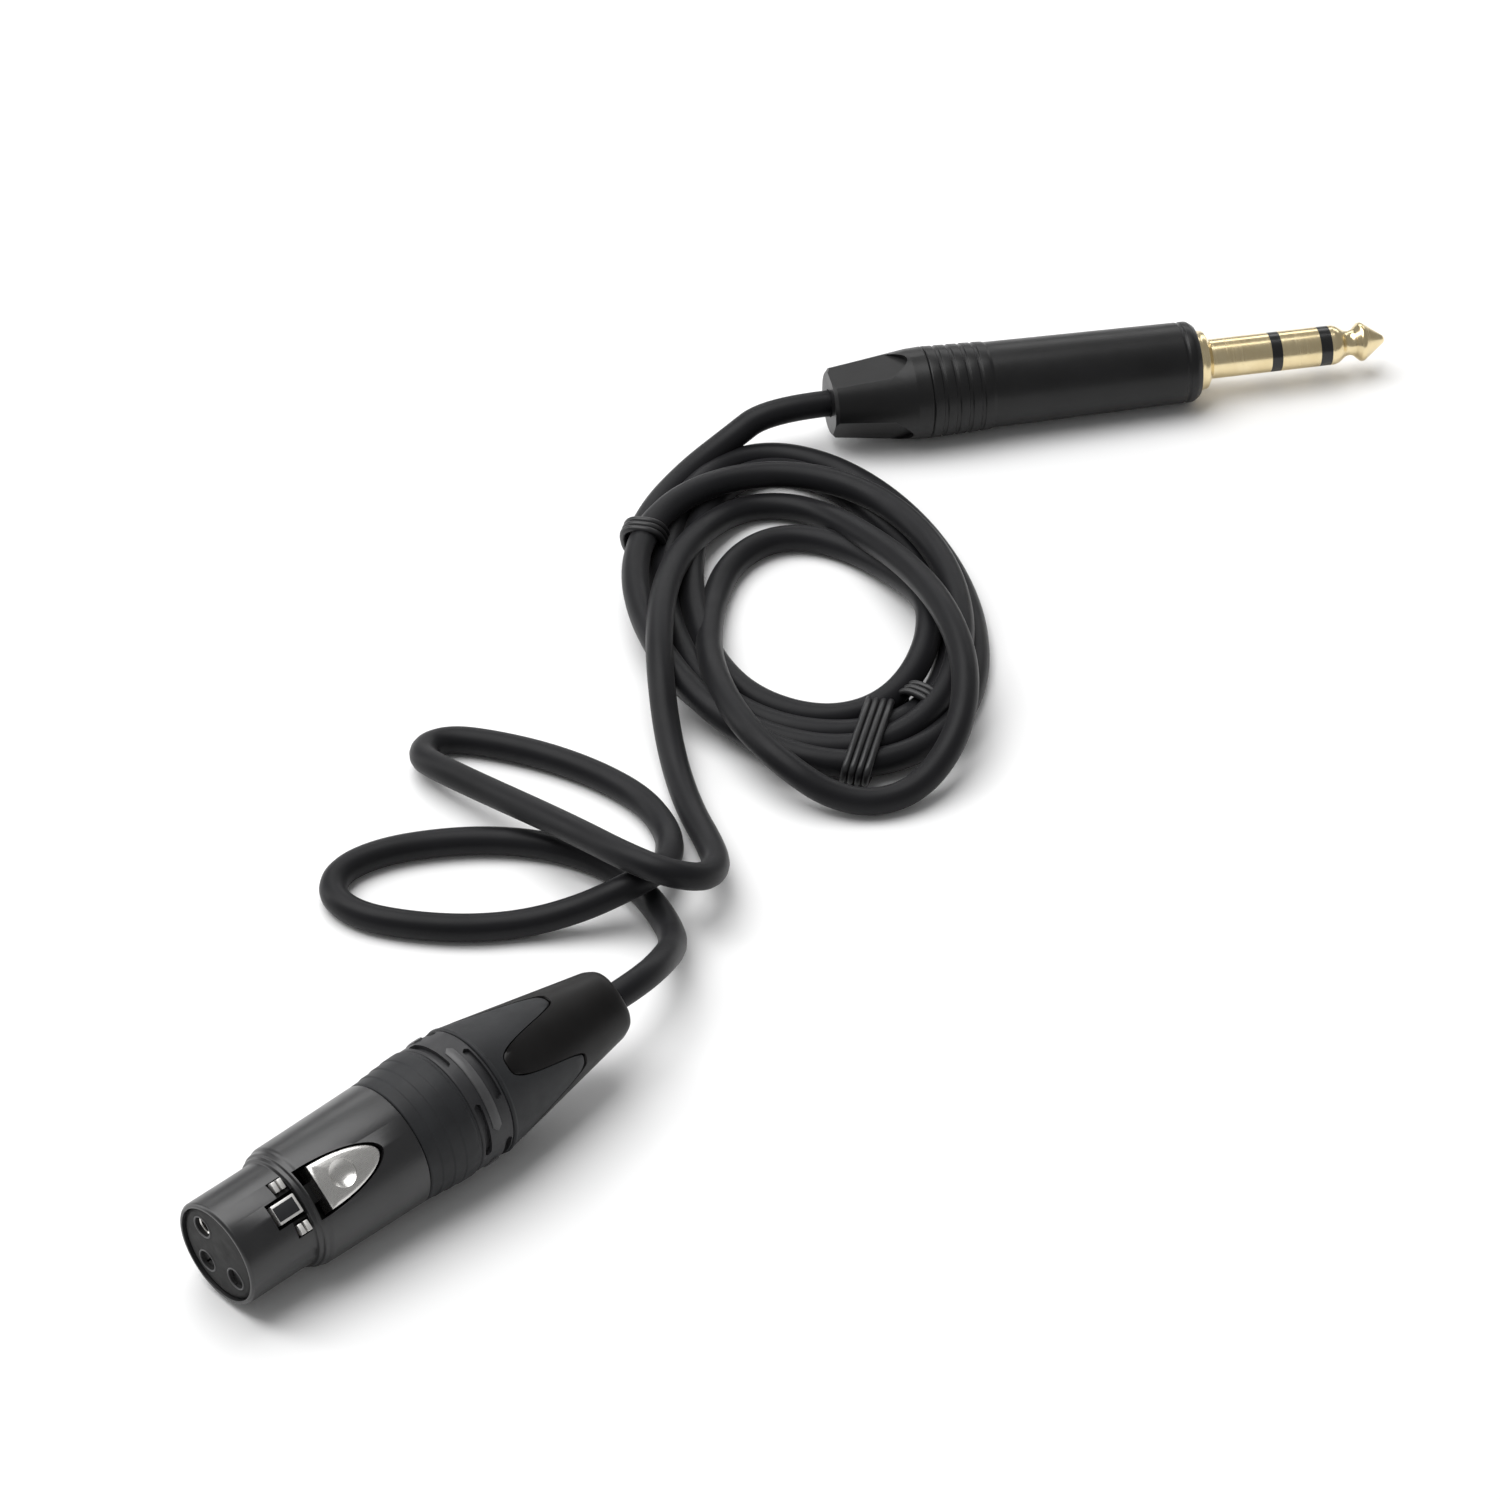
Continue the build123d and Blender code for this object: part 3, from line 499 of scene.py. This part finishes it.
def prism(outline, low, high):
    """Straight cutter or bar on the XLR: an outline of (station, across) from low to high."""
    build = bmesh.new()
    rings = []
    for height in (low, high):
        rings.append([build.verts.new((across, height, station)) for station, across in outline])
    build.faces.new(rings[0])
    build.faces.new(list(reversed(rings[1])))
    for index in range(len(outline)):
        following = (index + 1) % len(outline)
        build.faces.new((rings[0][index], rings[0][following],
                         rings[1][following], rings[1][index]))
    return finish_mesh("cutter", build, XLR, MATERIALS["black_insert"])


def apply_modifiers(piece):
    """Replace a piece's mesh with what its modifiers make of it."""
    view = bpy.context.evaluated_depsgraph_get()
    mesh = bpy.data.meshes.new_from_object(piece.evaluated_get(view))
    piece.modifiers.clear()
    piece.data = mesh
    for polygon in mesh.polygons:
        polygon.use_smooth = True
    mesh.set_sharp_from_angle(angle=radians(SHARP))


def cut(piece, *cutters):
    """Cut shapes out of a piece, one after another."""
    for cutter in cutters:
        boolean = piece.modifiers.new("cut", "BOOLEAN")
        boolean.operation = "DIFFERENCE"
        boolean.solver = "EXACT"
        boolean.object = cutter
        bpy.context.view_layer.update()
        apply_modifiers(piece)
        bpy.data.objects.remove(cutter)


def soften(piece, width, angle=50.0):
    """Round the edges that cutting left."""
    bevel = piece.modifiers.new("soften", "BEVEL")
    bevel.width = width * MM
    bevel.segments = 2
    bevel.limit_method = "ANGLE"
    bevel.angle_limit = radians(angle)
    bevel.use_clamp_overlap = True
    bpy.context.view_layer.update()
    apply_modifiers(piece)


def stand_for(piece, body, slot, *nodes):
    """Put a piece on a body, and hide the CAD nodes that it replaces; slot, the finish's slot, is not used."""
    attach(piece, body)
    if nodes:
        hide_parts(*nodes)


def box_outline(start, end, half):
    """Rectangle from one station to another, and half as wide each side of the middle."""
    return [(start, -half), (end, -half), (end, half), (start, half)]


# ---- XLR shell ----
TAB_FRONT = 14.4
TAB_BACK = 25.0
TAB_HALF = 3.6
HOOK_FRONT = 6.9
HOOK_BACK = 10.9
HOOK_HALF = 1.45
LUG_ACROSS = 3.35
BARREL_BACK = 11.2
FACET_ANGLE = radians(90 + 62)
FACET_HALF = radians(9)
FACET_R = 7.98                     # at the facet's two edges


def tab_outline(front, back, half, steps=14):
    """Push tab from above: straight front edge, sides that close to a round tip."""
    side = []
    for step in range(steps + 1):
        share = step / steps
        side.append((front + (back - front) * sin(pi / 2 * share),
                     half * cos(pi / 2 * share) ** 1.05))
    return side + [(station, -across) for station, across in reversed(side[:-1])]


def barrel_facet(station, radius, angle):
    """A shallow flat along the barrel."""
    off = abs(angle - FACET_ANGLE)
    outside = radius > 7.5
    if station < BARREL_BACK and outside and off < FACET_HALF:
        radius = min(radius, FACET_R * cos(FACET_HALF) / cos(off))
    return station, radius


xlr_shell = turned("xlr_shell_body", XLR, [
    (0.0, 7.25, 0.1), (0.0, 7.65, 0.15), (0.35, 7.97, 0.2), (BARREL_BACK, 7.95, 0.2),
    (11.35, 8.45, 0.15),
    (12.0, 8.5, 0.15), (12.1, 8.85, 0.15), (12.8, 8.9, 0.15), (13.3, 9.2, 0.3), (22.0, 9.3),
    (30.35, 9.4, 0.15), (30.5, 9.2, 0.1), (30.5, 7.7), (25.5, 7.7), (25.5, 7.25),
], MATERIALS["black_shell"], segments=180, warp=barrel_facet)
CUT_TOP = 12.0                     # above the whole shell
TAB_OPENING = tab_outline(TAB_FRONT - 2.0, TAB_BACK + 0.35, TAB_HALF + 0.3)
HOOK_OPENING = box_outline(HOOK_FRONT - 0.5, HOOK_BACK + 0.4, HOOK_HALF + 0.5)
LUG_OPENING = box_outline(8.7, 11.15, LUG_ACROSS + 0.95)
cut(xlr_shell, prism(TAB_OPENING, 4.5, CUT_TOP), prism(HOOK_OPENING, 5.0, CUT_TOP),
    prism(LUG_OPENING, 5.0, CUT_TOP))
soften(xlr_shell, 0.07)
stand_for(xlr_shell, "root", "black_shell", "xlr_shell")

# ---- gland nut and boot: a wavy seam parts the hard cone from the soft sleeve ----
COLLAR_END = 46.0
COLLAR_R = 9.85
BOOT_END_R = 5.2
SLEEVE_BORE_LIMIT = 3.0            # smaller radii belong to the sleeve's bore
SEAM_MID = 54.5
SEAM_WAVE = 6.5
SEAM_GAP = 0.12
PETAL_TIP = SEAM_MID + SEAM_WAVE
LOBE_FRONT = SEAM_MID - SEAM_WAVE


def boot_radius(station):
    """Outer radius of the boot's cone."""
    return COLLAR_R + (BOOT_END_R - COLLAR_R) * (station - COLLAR_END) / (XLR_LENGTH - COLLAR_END)


def seam(angle):
    """Station of the seam: the sleeve's lobes reach furthest forward at the latch's angle."""
    wave = cos(4 * (angle - pi / 2))
    return SEAM_MID - SEAM_WAVE * (1.12 * wave - 0.12 * cos(12 * (angle - pi / 2)))


def nut_warp(station, radius, angle):
    """Stretch the hard cone so that its rear edge follows the seam."""
    if station <= COLLAR_END:
        return station, radius
    moved = COLLAR_END + (station - COLLAR_END) * (
        (seam(angle) - SEAM_GAP - COLLAR_END) / (PETAL_TIP - COLLAR_END))
    return moved, radius + boot_radius(moved) - boot_radius(station)


def sleeve_warp(station, radius, angle):
    """Stretch the soft sleeve so that its front edge follows the seam."""
    moved = XLR_LENGTH - (XLR_LENGTH - station) * (
        (XLR_LENGTH - seam(angle)) / (XLR_LENGTH - LOBE_FRONT))
    if radius < SLEEVE_BORE_LIMIT:
        return moved, radius
    return moved, radius + boot_radius(moved) - boot_radius(station)


def along_cone(start, end, depth, steps):
    """Points down the cone at a depth below its surface."""
    return [(start + (end - start) * step / steps,
             boot_radius(start + (end - start) * step / steps) - depth, 0.0)
            for step in range(steps + 1)]


xlr_nut = turned("xlr_nut_body", XLR, [
    (26.3, 7.65), (30.55, 7.65), (30.55, 9.2, 0.15), (30.8, 9.42, 0.15), (32.5, 9.45),
    (32.7, 9.6, 0.1), (34.5, 9.62), (34.7, 9.78, 0.1), (36.5, 9.8), (36.7, 9.93, 0.1),
    (38.9, 9.98, 0.2), (39.2, 9.7, 0.1), (39.6, 9.7, 0.1), (39.6, 8.7), (45.3, 8.7),
    (45.3, 9.75, 0.1), (45.6, 10.02, 0.2),
    (COLLAR_END, boot_radius(COLLAR_END), 0.1), *along_cone(47.0, 60.6, 0.0, 10),
    (60.9, boot_radius(60.9) - 0.16, 0.0), (PETAL_TIP, boot_radius(PETAL_TIP) - 0.9),
    (48.0, boot_radius(48.0) - 1.6), (COLLAR_END, 6.2),
], MATERIALS["black_nut"], segments=192, warp=nut_warp)
stand_for(xlr_nut, "xlr_nut", "black_nut", "xlr_gland_nut")

xlr_sleeve = turned("xlr_sleeve_body", XLR, [
    (LOBE_FRONT, boot_radius(LOBE_FRONT) - 0.9),
    (LOBE_FRONT + 0.1, boot_radius(LOBE_FRONT) - 0.2, 0.0),
    *along_cone(LOBE_FRONT + 0.5, XLR_LENGTH - 1.6, -0.02, 14),
    (XLR_LENGTH - 0.5, 5.05, 0.3), (XLR_LENGTH, 4.2, 0.3), (XLR_LENGTH, 2.7, 0.25),
    (XLR_LENGTH - 0.8, 2.24), (55.0, 2.25), (55.0, boot_radius(55.0) - 0.95),
], MATERIALS["soft_sleeve"], segments=192, warp=sleeve_warp)
stand_for(xlr_sleeve, "xlr_nut", "soft_sleeve", "xlr_boot_sleeve")

# ---- coding ring: staggered slots, and raised bars between their two rows ----
SLOT_ARC = radians(52)
SLOT_ROWS = ((40.05, 41.15, 38), (43.75, 44.85, -7))   # stations, and degrees round from the latch
SLOT_RADII = (9.15, 10.4)
BAR_ARC = radians(84)
BAR_STATIONS = (41.75, 43.2)
BAR_RADII = (9.6, 10.08)
SECTOR_STEPS = 24
SECTOR_EDGE = 0.12                 # how far the top's long edges are chamfered


def ring_sector(start, end, low, high, middle, arc):
    """Bar bent round the ring, with round ends in its width."""
    build = bmesh.new()
    half = (end - start) / 2
    loops = []
    for step in range(SECTOR_STEPS + 1):
        share = 2 * step / SECTOR_STEPS - 1
        angle = middle + share * arc / 2
        closeness = (1 - abs(share)) * arc / 2 * high / half
        width = half * sqrt(max(0.0, 1 - max(0.0, 1 - closeness) ** 2))
        width = max(width, 0.02)
        loop = []
        for side, radius in ((-1, low), (-1, high - SECTOR_EDGE), (-0.8, high), (0.8, high),
                             (1, high - SECTOR_EDGE), (1, low)):
            station = (start + end) / 2 + side * width
            loop.append(build.verts.new((radius * cos(angle), radius * sin(angle), station)))
        loops.append(loop)
    for loop, beyond in zip(loops, loops[1:]):
        for index in range(len(loop)):
            following = (index + 1) % len(loop)
            build.faces.new((loop[index], loop[following], beyond[following], beyond[index]))
    build.faces.new(loops[0])
    build.faces.new(list(reversed(loops[-1])))
    return build


coding_ring = turned("xlr_ring_body", XLR, [
    (39.62, 8.72), (39.62, 9.7, 0.15), (39.9, 9.82, 0.15), (45.0, 9.82, 0.15), (45.28, 9.7, 0.15),
    (45.28, 8.72),
], MATERIALS["coding_ring"])
slots = []
for quarter in range(4):
    for first, last, turn in SLOT_ROWS:
        middle = radians(90 + turn + 90 * quarter)
        slots.append(finish_mesh("cutter", ring_sector(first, last, *SLOT_RADII, middle, SLOT_ARC),
                                 XLR, MATERIALS["coding_ring"]))
cut(coding_ring, *slots)
stand_for(coding_ring, "xlr_nut", "coding_ring", "xlr_coding_ring")

for number in range(3):
    bar = finish_mesh(f"xlr_ring_bar_{number + 1}",
                      ring_sector(*BAR_STATIONS, *BAR_RADII, radians(90 + 120 * number), BAR_ARC),
                      XLR, MATERIALS["raised_bar"])
    stand_for(bar, "xlr_nut", "coding_ring")

# ---- latch: bright push tab, and a hook with a dark plate on its top, a painted dark reflection inside a bright rim ----
TAB_R = 9.22
TAB_FLOOR = 5.6
LATCH_FLOOR = 5.55
NECK_TOP = 6.6
HOOK_TOP = 8.2
# Heights of the dark plate on the hook's top: a painted dark reflection.
HOOK_PAINTED_REFLECTION_HEIGHTS = (8.0, 8.3)
PRESS_MARK_R = 2.05
PRESS_MARK_STATION = TAB_FRONT + 3.9


def latch_tab():
    """Shell of the push tab, curved like the body that it sits in."""
    build = bmesh.new()
    outline = tab_outline(TAB_FRONT, TAB_BACK - 0.2, TAB_HALF - 0.12, steps=18)
    rings = [[build.verts.new((across, TAB_FLOOR, station)) for station, across in outline]]
    rounded_edge = ((1.0, 0.3), (0.985, 0.1), (0.955, 0.0))
    for shrink, drop in (*rounded_edge, (0.8, 0.0), (0.6, 0.0), (0.4, 0.0), (0.2, 0.0)):
        ring = []
        for station, across in outline:
            x = across * shrink
            z = PRESS_MARK_STATION + (station - PRESS_MARK_STATION) * shrink
            ring.append(build.verts.new((x, sqrt(TAB_R ** 2 - x * x) - drop, z)))
        rings.append(ring)
    for ring, inner in zip(rings, rings[1:]):
        for index in range(len(ring)):
            following = (index + 1) % len(ring)
            build.faces.new((ring[index], ring[following], inner[following], inner[index]))
    build.faces.new(rings[-1])
    build.faces.new(list(reversed(rings[0])))
    return build


def press_mark():
    """Cutter for the round mark: a short drum with a bulging end."""
    upright = XLR @ Matrix.Translation((0, 0, PRESS_MARK_STATION)) @ Matrix.Rotation(
        radians(-90), 4, "X")
    return turned("cutter", upright, [
        (8.2, 0.0), (8.25, 0.5, 0.0), (8.39, 1.0, 0.0), (8.61, 1.5, 0.0),
        (8.95, PRESS_MARK_R, 0.0), (12.0, PRESS_MARK_R, 0.0), (12.0, 0.0)],
        MATERIALS["nickel"], segments=64)


def bar_between(name, material, start, end, half, low, high, across=0.0, round_by=0.1):
    """Straight bar with rounded edges."""
    outline = [(station, side + across) for station, side in box_outline(start, end, half)]
    bar = prism(outline, low, high)
    bar.name = name
    bar.data.materials.clear()
    bar.data.materials.append(material)
    soften(bar, round_by, angle=30.0)
    return bar


tab = finish_mesh("xlr_latch_tab", latch_tab(), XLR, MATERIALS["nickel"], sharp=55.0)
cut(tab, press_mark())
stand_for(tab, "xlr_latch", "nickel", "xlr_latch")
neck = bar_between("xlr_latch_neck", MATERIALS["black_insert"], HOOK_BACK - 0.2, TAB_FRONT + 0.4,
                   HOOK_HALF, LATCH_FLOOR, NECK_TOP)
stand_for(neck, "xlr_latch", "black_insert")
hook = bar_between("xlr_latch_hook", MATERIALS["bright_nickel"], HOOK_FRONT, HOOK_BACK, HOOK_HALF,
                   LATCH_FLOOR, HOOK_TOP, round_by=0.16)
stand_for(hook, "xlr_latch", "nickel")
# Dark plate on the hook's top: a painted dark reflection, standing in for what the metal's flat top mirrors.
hook_painted_reflection = bar_between("xlr_latch_hook_painted_reflection", MATERIALS["black_nut"], HOOK_FRONT + 0.1,
                        HOOK_BACK - 0.45, HOOK_HALF - 0.38, *HOOK_PAINTED_REFLECTION_HEIGHTS, round_by=0.08)
stand_for(hook_painted_reflection, "xlr_latch", "black_nut")

# ---- earth lugs: two bright leaves at each side of the hook ----
LUG_STATIONS = ((9.05, 9.8), (10.1, 10.85))
LUG_HALF = 0.78
LUG_HEIGHTS = (6.4, 7.62)
lugs = []
for side in (-1, 1):
    for start, end in LUG_STATIONS:
        lugs.append(bar_between(f"xlr_lug_{len(lugs) + 1}", MATERIALS["bright_nickel"], start, end,
                                LUG_HALF, *LUG_HEIGHTS, across=side * LUG_ACROSS, round_by=0.12))
for lug in lugs:
    stand_for(lug, "root", "nickel", "xlr_ground_lugs")

# ---- lip of the insert, in front of the contacts, with a painted highlight round each mouth ----
CONTACT_ANGLES = (5, 175, 270)
INSERT_FRONT = 0.9
LIP_FRONT = 0.4
MOUTH_R = 1.55
MOUTH_THROAT_R = 1.3
INSERT_R = 7.2
insert_lip = turned("xlr_insert_lip", XLR, [
    (LIP_FRONT, 0.0), (LIP_FRONT, 6.6, 0.15), (LIP_FRONT + 0.25, INSERT_R, 0.1),
    (INSERT_FRONT, INSERT_R, 0.0), (INSERT_FRONT, 0.0)], MATERIALS["black_insert"])
mouths = []
for contact_angle in CONTACT_ANGLES:
    place = Matrix.Translation((CONTACT_CIRCLE_R * cos(radians(contact_angle)),
                                CONTACT_CIRCLE_R * sin(radians(contact_angle)), 0))
    mouths.append(turned("cutter", XLR @ place, [
        (-1.0, 0.0), (-1.0, MOUTH_R, 0.0), (LIP_FRONT, MOUTH_R, 0.0),
        (INSERT_FRONT, MOUTH_THROAT_R, 0.0), (3.0, MOUTH_THROAT_R, 0.0), (3.0, 0.0)],
        MATERIALS["black_insert"], segments=48))
    # Lighter grey raised rim round each mouth: its colour is a painted highlight, standing in for the pale
    # crescent of light on the mouth's edge.
    mouth_highlight_rim = turned(f"xlr_mouth_painted_highlight_{len(mouths)}", XLR @ place, [
        (LIP_FRONT + 0.1, MOUTH_R - 0.05, 0.1), (LIP_FRONT + 0.1, MOUTH_R + 0.28, 0.1),
        (LIP_FRONT - 0.1, MOUTH_R + 0.2, 0.1), (LIP_FRONT - 0.1, MOUTH_R, 0.1)],
        MATERIALS["raised_bar"], segments=48)
    stand_for(mouth_highlight_rim, "root", "black_insert")
cut(insert_lip, *mouths)
soften(insert_lip, 0.14)
stand_for(insert_lip, "root", "black_insert")

# ---- jack shell: shallow grooves at the grip, long taper, dark bevelled nose ----
JACK_SEAM = 15.5
GROOVE_PITCH = 2.05
JACK_R = 7.3
NOSE_R = 6.45
grip = []
for groove in range(4):
    start = JACK_SEAM + 1.6 + groove * GROOVE_PITCH
    land = JACK_R - 0.06 * (groove + 1)
    grip += [(start, land, 0.05), (start + 0.14, land - 0.16, 0.05),
             (start + 0.6, land - 0.16, 0.05), (start + 0.74, land, 0.05)]
jack_shell = turned("jack_shell_body", JACK, [
    (JACK_SEAM, 5.8), (JACK_SEAM, 7.1), (JACK_SEAM + 0.2, JACK_R, 0.1), *grip,
    (25.3, 6.98, 0.15), (25.7, 6.84, 0.15), (JACK_FRONT - 2.7, NOSE_R, 0.1),
    (JACK_FRONT - 2.5, NOSE_R - 0.14, 0.06), (JACK_FRONT - 2.2, NOSE_R - 0.14, 0.06),
    (JACK_FRONT - 2.0, NOSE_R + 0.02, 0.1), (JACK_FRONT - 1.0, NOSE_R, 0.3),
    (JACK_FRONT, NOSE_R - 0.75, 0.2), (JACK_FRONT - 0.3, 5.2, 0.2), (JACK_FRONT - 0.6, 4.2),
    (JACK_FRONT - 3.0, 4.2), (JACK_FRONT - 3.0, 5.8)], MATERIALS["jack_black"])
stand_for(jack_shell, "root", "black_shell", "jack_shell")

# ---- gold flare where the finger leaves the shell ----
flare = turned("jack_flare", JACK, [
    (JACK_FRONT - 0.5, 4.16), (JACK_FRONT - 0.4, 5.0, 0.1), (JACK_FRONT + 0.1, 5.1, 0.15),
    (JACK_FRONT + 0.7, 4.75, 0.4), (JACK_FRONT + 1.5, 4.62, 0.2), (JACK_FRONT + 1.6, 4.3, 0.1)],
    MATERIALS["gold"])
stand_for(flare, "root", "gold")

# =====================================================================================
# Floor and light
# =====================================================================================


def floor_material():
    surface = Surface("floor", Specular_IOR_Level=0.25)
    surface.paint(surface.noise(0.4, detail=2.0), (0.9, 0.9, 0.9), (0.93, 0.93, 0.93))
    surface.shader.inputs["Roughness"].default_value = 0.75
    surface.bump((surface.noise(0.002, detail=2.0), 0.00001))
    return surface.material


FLOOR_HALF = 3.0
floor_mesh = bpy.data.meshes.new("floor")
floor_mesh.from_pydata([(-FLOOR_HALF, -FLOOR_HALF, 0), (FLOOR_HALF, -FLOOR_HALF, 0),
                        (FLOOR_HALF, FLOOR_HALF, 0), (-FLOOR_HALF, FLOOR_HALF, 0)],
                       [], [(0, 1, 2, 3)])
floor_mesh.materials.append(floor_material())
floor = bpy.data.objects.new("floor", floor_mesh)
bpy.context.scene.collection.objects.link(floor)


def area_light(name, place, size, power):
    """Rectangular light that points at the origin."""
    data = bpy.data.lights.new(name, "AREA")
    data.shape = "RECTANGLE"
    data.size, data.size_y = size
    data.energy = power
    light = bpy.data.objects.new(name, data)
    bpy.context.scene.collection.objects.link(light)
    light.location = place
    light.rotation_euler = (-Vector(place)).to_track_quat("-Z", "Y").to_euler()


area_light("overhead", (-0.25, 0.15, 0.9), (1.0, 0.8), power=9.5)
area_light("left_strip", (-0.95, 0.25, 0.45), (0.35, 1.2), power=4.5)
area_light("back_strip", (0.1, 1.0, 0.5), (1.4, 0.3), power=3)

WORLD_STRENGTH = 0.3
bpy.context.scene.view_settings.view_transform = "Standard"
world = bpy.data.worlds.new("world")
world.use_nodes = True
world.node_tree.nodes["Background"].inputs["Color"].default_value = (1, 1, 1, 1)
world.node_tree.nodes["Background"].inputs["Strength"].default_value = WORLD_STRENGTH
bpy.context.scene.world = world
